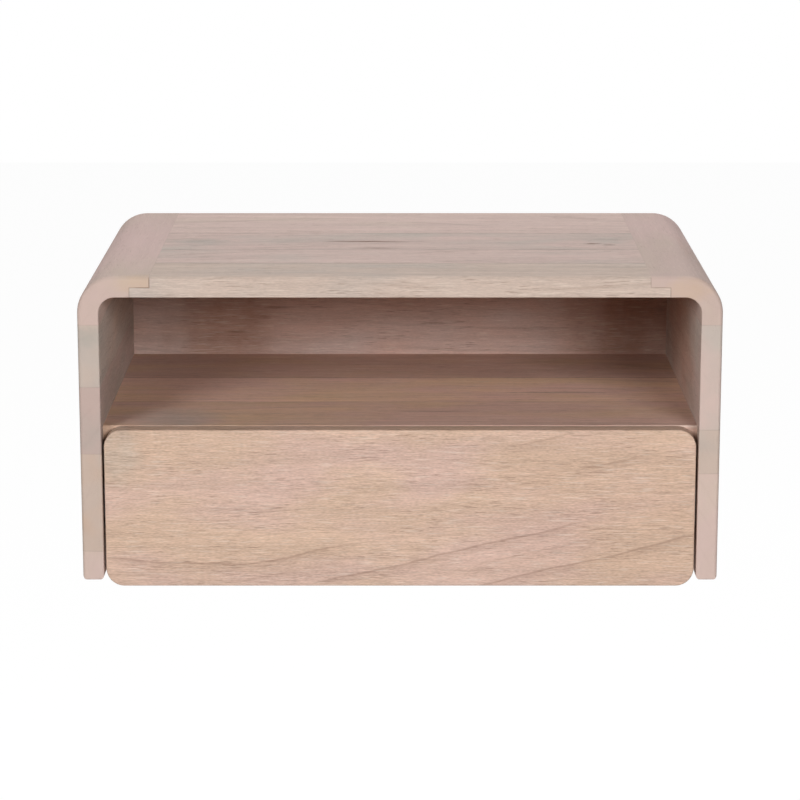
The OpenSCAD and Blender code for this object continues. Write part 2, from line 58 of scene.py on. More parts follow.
class Value:
    """A number that varies over a surface: one socket, which plain expressions can use."""

    def __init__(self, graph, socket):
        self.graph = graph
        self.socket = socket

    def math(self, operation, *numbers):
        return self.graph.add("ShaderNodeMath", {"operation": operation}, dict(enumerate(numbers)))

    def __add__(self, other):
        return self.math("ADD", self, other)

    def __radd__(self, other):
        return self.math("ADD", other, self)

    def __sub__(self, other):
        return self.math("SUBTRACT", self, other)

    def __rsub__(self, other):
        return self.math("SUBTRACT", other, self)

    def __mul__(self, other):
        return self.math("MULTIPLY", self, other)

    def __rmul__(self, other):
        return self.math("MULTIPLY", other, self)

    def __truediv__(self, other):
        return self.math("DIVIDE", self, other)

    def __pow__(self, other):
        return self.math("POWER", self, other)

    def __abs__(self):
        return self.math("ABSOLUTE", self)


class Graph:
    """The node tree of a material or of the world, built from expressions."""

    def __init__(self, owner):
        owner.use_nodes = True
        self.owner = owner
        self.tree = owner.node_tree
        self.tree.nodes.clear()

    def add(self, kind, settings, inputs, output=0):
        """One node: its settings first, then the values or links of its sockets."""
        node = self.tree.nodes.new(kind)
        for key, value in settings.items():
            setattr(node, key, value)
        for key, value in inputs.items():
            if isinstance(value, Value):
                self.tree.links.new(value.socket, node.inputs[key])
            else:
                node.inputs[key].default_value = value
        return Value(self, node.outputs[output]) if node.outputs else None

    def place(self):
        """The three coordinates of a point of the surface, in millimetres."""
        position = self.add("ShaderNodeTexCoord", {}, {}, "Object")
        split = self.add("ShaderNodeSeparateXYZ", {}, {0: position})
        return [Value(self, socket) * MM for socket in split.socket.node.outputs]

    def facing(self, axis):
        """How much a face looks along an axis, from 0 to 1."""
        normal = self.add("ShaderNodeNewGeometry", {}, {}, "Normal")
        split = self.add("ShaderNodeSeparateXYZ", {}, {0: normal})
        return abs(Value(self, split.socket.node.outputs["XYZ".index(axis)]))

    def noise(self, x, y, z, detail=2.0, roughness=0.5):
        """Smooth noise from 0 to 1 over three coordinates, about one cell a unit."""
        inputs = {"Vector": self.add("ShaderNodeCombineXYZ", {}, {0: x, 1: y, 2: z}),
                  "Scale": 1.0, "Detail": detail, "Roughness": roughness}
        return self.add("ShaderNodeTexNoise", {"noise_dimensions": "3D"}, inputs)

    def step(self, value, low, high):
        """A smooth step from 0 at low to 1 at high."""
        settings = {"interpolation_type": "SMOOTHSTEP"}
        return self.add("ShaderNodeMapRange", settings, {0: value, 1: low, 2: high})

    def line(self, distance, width):
        """1 where a distance is 0, fading to 0 at a width on both sides."""
        return 1 - self.step(abs(distance), 0.2 * width, width)

    def between(self, value, low, high):
        """1 between two limits and 0 outside, with edges of half a millimetre."""
        return self.step(value, low - 0.5, low) * (1 - self.step(value, high, high + 0.5))

    def mix(self, share, first, second):
        """A colour on the way from the first to the second; plain colours are display values."""
        colours = [c if isinstance(c, Value) else (*linear(c), 1.0) for c in (first, second)]
        inputs = {0: share, 6: colours[0], 7: colours[1]}
        return self.add("ShaderNodeMix", {"data_type": "RGBA"}, inputs, 2)

    def shade(self, colour, factor):
        """A colour made lighter or darker by a factor round 1."""
        return self.add("ShaderNodeVectorMath", {"operation": "SCALE"}, {0: colour, 3: factor})

    def relief(self, height, depth):
        """The normal of a surface with a relief: a height from 0 to 1 over a depth in mm."""
        return self.add("ShaderNodeBump", {}, {"Height": height, "Distance": depth / MM})

    def surface(self, sockets):
        """Ends the tree in one shader with these sockets, and gives its material."""
        shader = self.add("ShaderNodeBsdfPrincipled", {}, sockets)
        self.add("ShaderNodeOutputMaterial", {}, {"Surface": shader})
        return self.owner


# A whitewashed board: its grain's direction, the two tones it is made of, how much of the second
# one, how light it is, and a number that gives it its own figure
Board = namedtuple("Board", "grain first second share lightness seed")
BOARDS = {
    "top_stave_front": ("x", "sandy", "grey", 0.30, 0.98, 1),
    "top_stave_inner_front": ("x", "rosy", "grey", 0.30, 1.01, 2),
    "top_stave_inner_back": ("x", "rosy", "grey", 0.40, 0.98, 3),
    "top_stave_back": ("x", "rosy", "sandy", 0.10, 1.06, 4),
    "left_corner_block": ("y", "rosy", "sandy", 0.35, 0.96, 5),
    "right_corner_block": ("y", "rosy", "sandy", 0.35, 0.94, 6),
    "left_side_stave_upper": ("y", "grey", "sandy", 0.30, 0.97, 7),
    "left_side_stave_middle": ("y", "rosy", "grey", 0.25, 0.85, 8),
    "left_side_stave_lower": ("y", "sandy", "honey", 0.30, 0.92, 9),
    "left_side_stave_foot": ("y", "rosy", "sandy", 0.40, 1.00, 10),
    "right_side_stave_upper": ("y", "grey", "rosy", 0.45, 1.03, 11),
    "right_side_stave_middle": ("y", "sandy", "grey", 0.20, 0.95, 12),
    "right_side_stave_foot": ("y", "rosy", "sandy", 0.35, 1.03, 13),
    # The shelf's staves are partly painted light: lighter than the other boards, the middle one
    # most, and the rear one less, where the top shades it.
    "shelf_stave_front": ("x", "ruddy", "amber", 0.35, 1.12, 14),
    "shelf_stave_middle": ("x", "ruddy", "amber", 0.45, 1.25, 15),
    "shelf_stave_back": ("x", "ruddy", "amber", 0.30, 1.06, 16),
    "back_board_upper": ("x", "ruddy", "rosy", 0.30, 1.03, 17),
    "back_board_lower": ("x", "ruddy", "rosy", 0.30, 1.03, 18),
    "drawer_front": ("x", "honey", "blush", 0.40, 1.00, 19),
}
# Clear-finished boards of the drawer box, and the dowels: the grain's direction, and the number
# that gives each its own figure
PLAIN_BOARDS = {
    "drawer_box_front": ("x", 21), "drawer_back": ("x", 22), "drawer_bottom": ("x", 23),
    "drawer_left_side": ("y", 24), "drawer_right_side": ("y", 25),
    "shelf_dowels": ("x", 26), "back_dowels": ("x", 27),
}
# Growth lines that show on the drawer's front. Their curve: where along the front it turns, how
# wide the turn is, how steeply it rises to both sides, and how much more to the right
DRAWER_TURN = -154
DRAWER_TURN_WIDTH = 40
DRAWER_RISE = 0.175
DRAWER_TILT = 0.065
# The lines: the level of each, where it begins and ends along the front, and how strong it is
DRAWER_LINES = (
    (-208, -282, -48, 1.0),
    (-239, -80, 172, 1.0),
    (-277, 68, 282, 1.0),
    (-149, 98, 162, 0.6),
    (-187, 160, 240, 0.6),
    (-170, 200, 232, 0.5),
    (-257, 60, 200, 0.35),
    (-223, -240, -60, 0.3),
)
# Marks in the wood, and soft patches of painted shade and painted light where the lamps fall
# short: the middle, the half sizes, the tone and the strength of each
WOOD_MARKS_AND_PAINTED_LIGHT = {
    "top_stave_inner_back": (
        ((-198, -185, 65), (42, 30, 30), "slate", 0.55),
        ((204, -180, 65), (34, 30, 30), "slate", 0.50),
        ((-34, -182, 75), (54, 5, 9), "dark", 0.95),
        ((-22, -222, 75), (34, 5, 9), "dark", 0.50),
        ((190, -196, 75), (11, 5, 6), "dark", 0.85),
        ((206, -203, 75), (9, 4, 6), "dark", 0.80),
    ),
    "left_side_stave_upper": (((-290, -380, 18), (22, 60, 14), "slate", 0.45),),
    # Painted shade with a redder tone: the niche's right inner wall is darkened where it lies in
    # shade.
    "right_side_stave_upper": (((280, -170, -30), (14, 200, 130), "shade_umber", 0.72),),
    "right_corner_block": (
        # Painted light: a paler, cooler top and outer rounding on the right corner block.
        ((270, -60, 70), (70, 170, 30), "lilac_highlight", 0.90),
        # Painted shade with a redder tone on the corner block's part of the niche's right inner
        # wall.
        ((280, -170, 0), (14, 200, 90), "shade_umber", 0.68),
        ((268, -380, 62), (30, 20, 16), "straw", 0.45),
    ),
    "drawer_front": (
        ((-264, -390, -96), (30, 60, 40), "slate", 0.35),
        ((-33, -390, -120), (60, 60, 26), "straw", 0.45),
        # Painted shade: a slight darkening over the right half of the drawer front.
        ((200, -390, -150), (160, 60, 130), "shade_umber", 0.12),
    ),
    "left_corner_block": (
        # Painted light: a paler, cooler top and outer rounding on the left corner block.
        ((-268, -170, 70), (70, 240, 30), "lilac_highlight", 0.80),
        ((-242, -380, 68), (30, 20, 14), "straw", 0.45),
    ),
    "shelf_stave_front": (
        ((-215, -330, -71), (60, 60, 20), "slate", 0.50),
        # Painted shade: a dark line over the shelf's front arris, which hides its lit edge
        # everywhere but at the right.
        ((-100, -362, -71), (260, 4, 4), "shade_umber", 0.55),
        ((30, -300, -71), (50, 4, 9), "dark", 0.40),
        # Painted highlight: a bright line along the shelf's front arris at its right end.
        ((255, -362, -71), (90, 4, 4), "white", 0.80),
    ),
    "shelf_stave_middle": (
        ((-40, -225, -71), (90, 70, 20), "straw", 0.60),
        ((160, -215, -71), (70, 5, 9), "dark", 0.45),
    ),
    # Painted shade: the rear of the shelf is darkened where the top shades it.
    "shelf_stave_back": (((0, -80, -71), (500, 120, 30), "shade_umber", 0.35),),
    "back_board_upper": (
        # Painted shade: two darker patches at the back board's left and right, where the niche's
        # sides shade it.
        ((-185, -26, -30), (75, 30, 110), "shade_umber", 0.75),
        ((245, -26, -30), (85, 30, 140), "shade_umber", 0.85),
        ((-172, -26, -47), (16, 20, 2), "dark", 0.45),
        ((-128, -26, -21), (22, 20, 1.8), "dark", 0.45),
        ((35, -26, -38), (18, 20, 2.5), "dark", 0.40),
    ),
}


# Whitewashed wood: how light it is beside its tones, and how much of each part of its figure shows
MEAN_LIGHTNESS = 0.93
FRONT_FIBRE_SHARE = 0.40
CASE_FIBRE_SHARE = 0.22
STREAK_SHARE = 0.187
BAND_SHARE = 0.272
RING_SHARE = 0.34
PORE_SHARE = 0.35
JOINT_SHARE = 0.70
# Distance between growth lines, in mm
CASE_RINGS = 19
BOX_RINGS = 9
# Boards of one piece, which show no glue line
SEAMLESS = ("drawer_front", "back_board_upper", "back_board_lower")

LOW, HIGH = 0, 1
X, Y, Z = 0, 1, 2


def edge(node, end, axis):
    """A coordinate of a node's box in millimetres, at its low or its high end."""
    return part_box(node)[end][axis] * MM


def seam_planes(row, names, axis):
    """The planes in which boards meet, one at the high end of each board that is named."""
    return [edge(f"{row}_{name}", HIGH, axis) for name in names]


TOP_SEAMS = seam_planes("top_stave", ("front", "inner_front", "inner_back"), Y)
SHELF_SEAMS = seam_planes("shelf_stave", ("front", "middle"), Y)
LEFT_SEAMS = seam_planes("left_side_stave", ("upper", "middle", "lower", "foot"), Z)
RIGHT_SEAMS = seam_planes("right_side_stave", ("upper", "middle", "foot"), Z)
FRONT_Y = edge("top_stave_front", LOW, Y)
TOP_Z = edge("top_stave_front", HIGH, Z)
# Half laps of the top: where the corner block's tongue ends, where its shoulder stands, and the
# plane under the tongue, which is 10.5 mm thick
TONGUE_END = edge("right_corner_block", LOW, X)
SHOULDER = edge("top_stave_front", HIGH, X)
LAP_Z = TOP_Z - 10.5
# Glue lines: how far from a seam they fade out, in mm, and how much of them shows
LAP_LINE = 0.8
TOP_LINE = 1.6
SHELF_LINE, SHELF_LINE_SHARE = 2.2, 0.6
SIDE_LINE, SIDE_LINE_SHARE = 0.8, 0.25


def largest(values):
    """The largest of some varying numbers."""
    total = values[0]
    for other in values[1:]:
        total = total.math("MAXIMUM", total, other)
    return total


def lap_lines(graph, x, y, z):
    """The seams of the two half laps. They show best on the front edge, and more on the left."""
    reach = abs(x)
    over_lap = graph.step(z, LAP_Z - 0.2, LAP_Z + 0.2)
    lines = [graph.line(reach - TONGUE_END, LAP_LINE) * over_lap,
             graph.line(reach - SHOULDER, LAP_LINE) * (1 - over_lap),
             graph.line(z - LAP_Z, LAP_LINE) * graph.between(reach, TONGUE_END, SHOULDER)]
    behind_front = graph.step(y, FRONT_Y, FRONT_Y + 2)
    on_right = graph.step(x, -9, 9)
    return largest(lines) * (1 - 0.85 * behind_front) * (1 - 0.4 * on_right)


def seams(graph, node, x, y, z):
    """Where a glue line shows: most on the planes in which boards meet, and nothing a millimetre
    or two away from them."""
    found = []
    if node.startswith("top_stave") or node.endswith("corner_block"):
        found.append(lap_lines(graph, x, y, z))
    if node.startswith("top_stave"):
        found += [graph.line(y - seam, TOP_LINE) for seam in TOP_SEAMS]
    if node.startswith("shelf_stave"):
        found += [graph.line(y - seam, SHELF_LINE) * SHELF_LINE_SHARE for seam in SHELF_SEAMS]
    if node.startswith(("left_side", "left_corner")):
        found += [graph.line(z - seam, SIDE_LINE) * SIDE_LINE_SHARE for seam in LEFT_SEAMS]
    if node.startswith(("right_side", "right_corner")):
        found += [graph.line(z - seam, SIDE_LINE) * SIDE_LINE_SHARE for seam in RIGHT_SEAMS]
    return largest(found)


def along_grain(grain, x, y, z):
    """Coordinates along the grain, across the board's face and through its thickness."""
    return (x, z, y) if grain == "x" else (y, z, x)


def growth_rings(graph, u, v, w, seed, spacing):
    """Growth lines of a sawn board. The distance from the pith, a line beside the board, plus a
    bow along the board, is cut at uneven steps; a line shows where it crosses a step."""
    pith_v = -330 - 40 * math.sin(2.1 * seed)
    pith_w = 120 * math.cos(1.3 * seed)
    bow_at = 180 * math.sin(0.9 * seed)
    away = ((v - pith_v) ** 2 + (w - pith_w) ** 2) ** 0.5
    bow = 0.07 * ((u - bow_at) ** 2 + 60 ** 2) ** 0.5
    slope = 0.03 * math.sin(1.7 * seed)
    wander = 10 * graph.noise(u / 190 + seed, v / 70, w / 70, 1.0)
    ripple = 1.6 * graph.noise(u / 34, v / 16, w / 16 + seed, 2.0)
    growth = (away - bow - slope * u + wander + ripple) / spacing
    settings = {"voronoi_dimensions": "1D", "feature": "DISTANCE_TO_EDGE"}
    gap = graph.add("ShaderNodeTexVoronoi", settings, {"W": growth, "Scale": 1.0}) * spacing
    strength = graph.step(graph.noise(u / 120, v / 25, w / 25 + 3 * seed, 1.0), 0.42, 0.66)
    return graph.line(gap, 1.8) * strength


def drawer_growth(graph, x, z):
    """Growth lines of the drawer's front. All are one curve at different levels: a hyperbola that
    turns left of the middle and rises to both sides, more to the right. Each fades at its ends."""
    aside = x - DRAWER_TURN
    turn = (aside ** 2 + DRAWER_TURN_WIDTH ** 2) ** 0.5
    wander = 7 * graph.noise(x / 60, z / 30, 0, 2.0) + 1.5 * graph.noise(x / 14, z / 8, 3, 1.0) - 4
    level = z - DRAWER_TILT * aside - DRAWER_RISE * turn + wander
    lines = []
    for height, begin, end, strength in DRAWER_LINES:
        thin = graph.line(level - height, 1.7)
        soft = graph.line(level - height + 3, 6) * 0.35
        reach = graph.step(x, begin - 12, begin + 25) * (1 - graph.step(x, end - 25, end + 12))
        lines.append(largest([thin, soft]) * reach * strength)
    return largest(lines)


def board_growth(graph, node, x, y, z):
    """Growth lines of any whitewashed board. They are faint where it runs from front to back."""
    if node == "drawer_front":
        return drawer_growth(graph, x, z)
    board = Board(*BOARDS[node])
    share = 0.5 if board.grain == "x" else 0.1
    u, v, w = along_grain(board.grain, x, y, z)
    return growth_rings(graph, u, v, w, board.seed, CASE_RINGS) * share


def mark(graph, place, middle, half_sizes, strength):
    """A soft spot with an uneven rim: full strength in its middle, nothing at its half sizes."""
    offsets = [(value - centre) / half for value, centre, half in zip(place, middle, half_sizes)]
    x, y, z = [3 * (value / half) for value, half in zip(place, half_sizes)]
    uneven = 0.9 * graph.noise(x, y, z)
    distance = offsets[0] ** 2 + offsets[1] ** 2 + offsets[2] ** 2 + uneven
    return (1 - graph.step(distance, 0.25, 1.35)) * strength


def tones(graph, node, place, run, settings):
    """The colour of a board before its figure: two tones in soft patches, and its marks and its
    patches of painted shade and painted light.
    """
    board = Board(*BOARDS[node])
    u, across, through = run
    patch = graph.noise(u / 130 + 5 * board.seed, across / 50, through / 50, 2.0)
    centre = 0.72 - 0.44 * board.share
    blend = graph.step(patch, centre - 0.18, centre + 0.18)
    colour = graph.mix(blend, getattr(settings, board.first), getattr(settings, board.second))
    for middle, half_sizes, tone, strength in WOOD_MARKS_AND_PAINTED_LIGHT.get(node, ()):
        spot = mark(graph, place, middle, half_sizes, strength)
        colour = graph.mix(spot, colour, getattr(settings, tone))
    return colour


def fine_grain(graph, run, seed):
    """Two numbers: short fibres along the grain, and these with shorter dashes, round 0."""
    u, across, through = run
    fibre = graph.noise(u / 14, across / 0.6, through / 0.6 + seed, 0.0)
    dash = graph.noise(u / 3.5 + seed, across / 0.6, through / 0.6, 0.0)
    return fibre, fibre + dash - 1


def broad_grain(graph, run, seed):
    """Two numbers: long streaks along the grain, and these with wide bands, round 0."""
    u, across, through = run
    streak = graph.noise(u / 130 + seed, across / 4.5, through / 4.5, 2.0, 0.6)
    band = graph.noise(u / 220, across / 12 + seed, through / 12, 2.0)
    return streak, STREAK_SHARE * (streak - 0.5) + BAND_SHARE * (band - 0.5)


def open_pores(graph, run, seed):
    """Pores drawn out along the grain, which gather in fields."""
    u, across, through = run
    single = graph.noise(u / 13 + seed, across / 0.8, through / 0.8 + 9, 0.0)
    field = graph.noise(u / 60, across / 14 + seed, through / 14, 1.0)
    return graph.step(single, 0.64, 0.76) * graph.step(field, 0.36, 0.62)


def kept_pigment(graph, run, seed):
    """Where whitewash has stayed in the grain."""
    u, across, through = run
    spread = graph.noise(u / 20 + 2 * seed, across / 1.2, through / 1.2, 1.0)
    return graph.step(spread, 0.55, 0.75)


def figure_share(graph, grain):
    """How much of the figure shows on a face: little on end grain, and where a board runs from
    front to back more on the table's sides than on its top."""
    share = 1 - 0.7 * graph.facing(grain.upper())
    return share if grain == "x" else share * (0.35 + 0.55 * graph.facing("X"))


def whitewashed(node, settings):
    """Pale whitewashed wood: slow changes between two tones, short fibres along the grain, dark
    pores, growth lines, marks and patches of painted shade and light, and glue lines where boards
    meet."""
    board = Board(*BOARDS[node])
    seed = board.seed
    graph = Graph(bpy.data.materials.new(node + "_whitewashed"))
    place = graph.place()
    u, v, w = along_grain(board.grain, *place)
    sway = 2 * graph.noise(u / 110 + 7 * seed, v / 60, w / 60, 1.0)
    run = (u, v + sway, w + sway)

    fibre, fine = fine_grain(graph, run, seed)
    streak, broad = broad_grain(graph, run, seed)
    pores = open_pores(graph, run, seed)
    rings = board_growth(graph, node, *place)
    pigment = kept_pigment(graph, run, seed)
    shown = figure_share(graph, board.grain)
    fine_share = FRONT_FIBRE_SHARE if node == "drawer_front" else CASE_FIBRE_SHARE

    colour = tones(graph, node, place, run, settings)
    lightness = (MEAN_LIGHTNESS + (fine_share * fine + broad) * shown) * board.lightness
    colour = graph.shade(colour, lightness)
    colour = graph.mix(pigment * shown * settings.wash, colour, settings.white)
    colour = graph.mix(rings * RING_SHARE, colour, settings.dark)
    colour = graph.mix(pores * shown * PORE_SHARE, colour, settings.dark)
    height = 0.5 * fibre + 0.2 * streak - 0.7 * pores - 0.2 * rings
    if node not in SEAMLESS:
        x, y, z = place
        breaks = graph.step(graph.noise(x / 30, y / 30, z / 30 + seed, 2.0), 0.4, 0.6)
        joint = seams(graph, node, x, y, z) * (0.35 + 0.65 * breaks)
        colour = graph.mix(joint * JOINT_SHARE, colour, settings.joint)
        height = height - 0.5 * joint
    roughness = 0.58 + 0.14 * fibre + 0.10 * pores
    return graph.surface({"Base Color": colour, "Roughness": roughness,
                          "Specular IOR Level": 0.12, "Normal": graph.relief(height, 0.15)})


def clear_finished(node, settings):
    """Plain light wood under a clear finish: straight streaks, fibres and faint growth lines."""
    grain, seed = PLAIN_BOARDS[node]
    graph = Graph(bpy.data.materials.new(node + "_clear_finished"))
    u, v, w = along_grain(grain, *graph.place())
    streak = graph.noise(u / 160 + seed, v / 4, w / 4, 3.0, 0.6)
    fibre = graph.noise(u / 30, v / 0.7 + seed, w / 0.7, 2.0)
    rings = growth_rings(graph, u, v, w, seed, BOX_RINGS)
    colour = graph.mix(graph.step(streak, 0.3, 0.7), settings.plain_light, settings.plain_dark)
    colour = graph.shade(colour, 0.9 + 0.2 * fibre)
    colour = graph.mix(rings * 0.35, colour, settings.plain_deep)
    return graph.surface({"Base Color": colour, "Roughness": 0.42 + 0.16 * fibre,
                          "Normal": graph.relief(0.6 * fibre - 0.3 * rings, 0.08)})


def rolled_metal(name, colour, grain_axis, roughness):
    """Metal with fine rolling lines along one axis and slow cloudy changes of gloss."""
    graph = Graph(bpy.data.materials.new(name))
    x, y, z = graph.place()
    u, v, w = (x, y, z) if grain_axis == "x" else (y, x, z)
    lines = graph.noise(u / 60, v / 0.25, w / 0.25, 2.0)
    clouds = graph.noise(x / 14, y / 14, z / 14, 3.0)
    tone = graph.shade(graph.mix(clouds, colour, [c * 0.93 for c in colour]), 0.94 + 0.12 * lines)
    return graph.surface({"Base Color": tone, "Metallic": 1.0,
                          "Roughness": roughness - 0.08 + 0.10 * lines + 0.10 * clouds,
                          "Normal": graph.relief(lines, 0.02)})


def soft_plastic(name, settings):
    """Milky soft plastic of the stop pads, slightly mottled."""
    graph = Graph(bpy.data.materials.new(name))
    x, y, z = graph.place()
    clouds = graph.noise(x / 2, y / 2, z / 2, 3.0)
    colour = graph.mix(clouds, settings.pad, [c * 0.94 for c in settings.pad])
    return graph.surface({"Base Color": colour, "Roughness": 0.30 + 0.15 * clouds,
                          "Normal": graph.relief(clouds, 0.05)})


def give(node, material):
    """Puts a material into a node's own slot."""
    NODES[node].material_slots[0].material = material


def colour_property(name, description, default):
    """A colour that the sidebar shows, written as display values."""
    return FloatVectorProperty(name=name, description=description, default=default, size=3,
                               subtype="COLOR_GAMMA", min=0.0, max=1.0)


class WoodFinish(bpy.types.PropertyGroup):
    rosy: colour_property("Rosy tone", "Rosy wood under the whitewash", (0.82, 0.728, 0.695))
    sandy: colour_property("Sandy tone", "Sandy wood under the whitewash", (0.812, 0.735, 0.685))
    honey: colour_property("Honey tone", "Warm wood under the whitewash", (0.826, 0.71, 0.625))
    blush: colour_property("Blush tone", "Pinkish patches", (0.826, 0.705, 0.652))
    amber: colour_property("Amber tone", "Yellowish brown wood", (0.83, 0.71, 0.605))
    ruddy: colour_property("Ruddy tone", "Reddish brown wood", (0.82, 0.69, 0.64))
    # This tone is used only for painted shade: in the niche, along the shelf's front arris and
    # over the drawer front's right.
    shade_umber: colour_property("Umber tone", "Darker patches", (0.70, 0.55, 0.48))
    straw: colour_property("Straw tone", "Yellowish patches", (0.83, 0.72, 0.60))
    grey: colour_property("Grey tone", "Weathered wood", (0.765, 0.715, 0.68))
    slate: colour_property("Slate tone", "Greyish green patches", (0.66, 0.655, 0.625))
    # This tone is used only for painted light on the tops of the corner blocks.
    lilac_highlight: colour_property("Lilac tone", "Paler, cooler patches", (0.855, 0.745, 0.725))
    # The whitewash tone also paints a highlight along the right end of the shelf's front arris.
    white: colour_property("Whitewash", "Pigment left in the grain", (0.92, 0.87, 0.82))
    dark: colour_property("Dark grain", "Pores and growth lines", (0.45, 0.34, 0.27))
    joint: colour_property("Glue line", "Where boards meet", (0.40, 0.30, 0.24))
    plain_light: colour_property("Clear light", "Light wood, clear finish", (0.86, 0.73, 0.57))
    plain_dark: colour_property("Clear dark", "Darker streaks, clear finish", (0.79, 0.63, 0.46))
    plain_deep: colour_property("Clear lines", "Growth lines, clear finish", (0.58, 0.42, 0.28))
    wash: FloatProperty(name="Wash", description="How much pigment stays in the grain",
                        default=0.30, min=0.0, max=1.0, subtype="FACTOR")


class MetalFinish(bpy.types.PropertyGroup):
    zinc: colour_property("Zinc", "Plated slide members", (0.78, 0.79, 0.80))
    screw: colour_property("Screws", "Plated screws", (0.74, 0.74, 0.75))
    aluminium: colour_property("Aluminium", "Hanging cleats", (0.86, 0.87, 0.88))
    cage: colour_property("Ball cages", "Brass ball cages", (0.80, 0.68, 0.42))
    ball: colour_property("Balls", "Polished balls", (0.90, 0.90, 0.91))
    pad: colour_property("Stop pads", "Soft plastic pads", (0.86, 0.87, 0.86))


class Studio(bpy.types.PropertyGroup):
    lens: FloatProperty(name="Lens", description="Focal length in millimetres", default=132.0)
    camera_out: FloatProperty(name="Camera distance", description="From the front of the table",
                              default=2.6742, unit="LENGTH")
    camera_up: FloatProperty(name="Camera height", description="Over the top of the table",
                             default=0.4778, unit="LENGTH")
    camera_tilt: FloatProperty(name="Camera tilt", description="Down from level",
                               default=math.radians(12.54), subtype="ANGLE", unit="ROTATION")
    floor_drop: FloatProperty(name="Floor", description="Distance down to the floor",
                              default=0.9, unit="LENGTH")
    lamp_distance: FloatProperty(name="Lamp distance", description="From the middle of the table",
                                 default=3.6, unit="LENGTH")
    sky: FloatProperty(name="Sky", description="Strength of the even light", default=0.02)


class TABLE_OT_case_boards(bpy.types.Operator):
    """Whitewash the boards of the case"""
    bl_idname = "table.case_boards"
    bl_label = "Case boards"

    def execute(self, context):
        for node in BOARDS:
            if node != "drawer_front":
                give(node, whitewashed(node, context.scene.wood_finish))
        return {"FINISHED"}


class TABLE_OT_drawer_front(bpy.types.Operator):
    """Whitewash the drawer's front"""
    bl_idname = "table.drawer_front"
    bl_label = "Drawer front"

    def execute(self, context):
        give("drawer_front", whitewashed("drawer_front", context.scene.wood_finish))
        return {"FINISHED"}


class TABLE_OT_drawer_box(bpy.types.Operator):
    """Finish the drawer's box and the dowels in plain wood"""
    bl_idname = "table.drawer_box"
    bl_label = "Drawer box and dowels"

    def execute(self, context):
        for node in PLAIN_BOARDS:
            give(node, clear_finished(node, context.scene.wood_finish))
        return {"FINISHED"}


class TABLE_OT_slides(bpy.types.Operator):
    """Plate the drawer slides, their cages and their balls"""
    bl_idname = "table.slides"
    bl_label = "Drawer slides"

    def execute(self, context):
        metal = context.scene.metal_finish
        zinc = rolled_metal("zinc_plated_members", metal.zinc, "y", 0.32)
        brass = rolled_metal("brass_cages", metal.cage, "y", 0.38)
        polished = rolled_metal("polished_balls", metal.ball, "y", 0.14)
        for node in NODES:
            if node.endswith("_member"):
                give(node, zinc)
            if node.endswith("_cage"):
                give(node, brass)
            if node.endswith("_balls"):
                give(node, polished)
        return {"FINISHED"}


class TABLE_OT_fittings(bpy.types.Operator):
    """Finish the hanging cleats, the screws and the stop pads"""
    bl_idname = "table.fittings"
    bl_label = "Cleats, screws and pads"

    def execute(self, context):
        metal = context.scene.metal_finish
        aluminium = rolled_metal("extruded_cleats", metal.aluminium, "x", 0.40)
        plated = rolled_metal("plated_screws", metal.screw, "x", 0.30)
        give("wall_cleat", aluminium)
        give("case_cleat", aluminium)
        for node in NODES:
            if node.endswith("_screws"):
                give(node, plated)
        give("drawer_stop_pads", soft_plastic("stop_pad_plastic", metal))
        return {"FINISHED"}


# Lamps: name, how far round to the right and how high up they stand in degrees, width and height
# in metres, power in watts and colour. All stand at one distance from a point in the table.
LAMPS = (
    ("key_right", 20.5, 16.2, 1.15, 0.80, 63.5, (1.0, 0.985, 0.97)),
    ("key_left", -31, 20, 1.00, 1.05, 54.5, (1.0, 0.985, 0.97)),
    ("overhead", 180, 62, 1.6, 1.6, 75, (1.0, 1.0, 1.0)),
)
LAMP_TARGET = Vector((0, -0.2, -0.05))
# Width of the camera's sensor in millimetres, half the floor's side in metres, and its tones
SENSOR_WIDTH = 36
FLOOR_HALF = 9.0
FLOOR_TONES = ((0.93, 0.93, 0.93), (0.95, 0.95, 0.95))
# The floor as the camera sees it: how white it glows, and the share of the glow against its shadow
FLOOR_GLOW = 1.05
FLOOR_GLOW_SHARE = 0.93


def add_lamp(name, azimuth, elevation, width, height, power, colour, distance):
    """An area lamp that stands off the table and shines at the point that all lamps share."""
    data = bpy.data.lights.new(name, "AREA")
    data.shape, data.size, data.size_y = "RECTANGLE", width, height
    data.energy, data.color = power, colour
    lamp = bpy.data.objects.new(name, data)
    turn, rise = math.radians(azimuth), math.radians(elevation)
    direction = (math.sin(turn) * math.cos(rise), -math.cos(turn) * math.cos(rise), math.sin(rise))
    lamp.location = LAMP_TARGET + distance * Vector(direction)
    lamp.rotation_euler = (LAMP_TARGET - lamp.location).to_track_quat("-Z", "Y").to_euler()
    bpy.context.scene.collection.objects.link(lamp)


def add_camera(studio):
    """A camera straight in front of the table, which looks down on it."""
    data = bpy.data.cameras.new("front_camera")
    data.lens, data.sensor_width = studio.lens, SENSOR_WIDTH
    camera = bpy.data.objects.new("front_camera", data)
    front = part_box("drawer_front")[LOW].y
    camera.location = (0, front - studio.camera_out, TOP_Z / MM + studio.camera_up)
    camera.rotation_euler = (math.radians(90) - studio.camera_tilt, 0, 0)
    bpy.context.scene.collection.objects.link(camera)
    bpy.context.scene.camera = camera


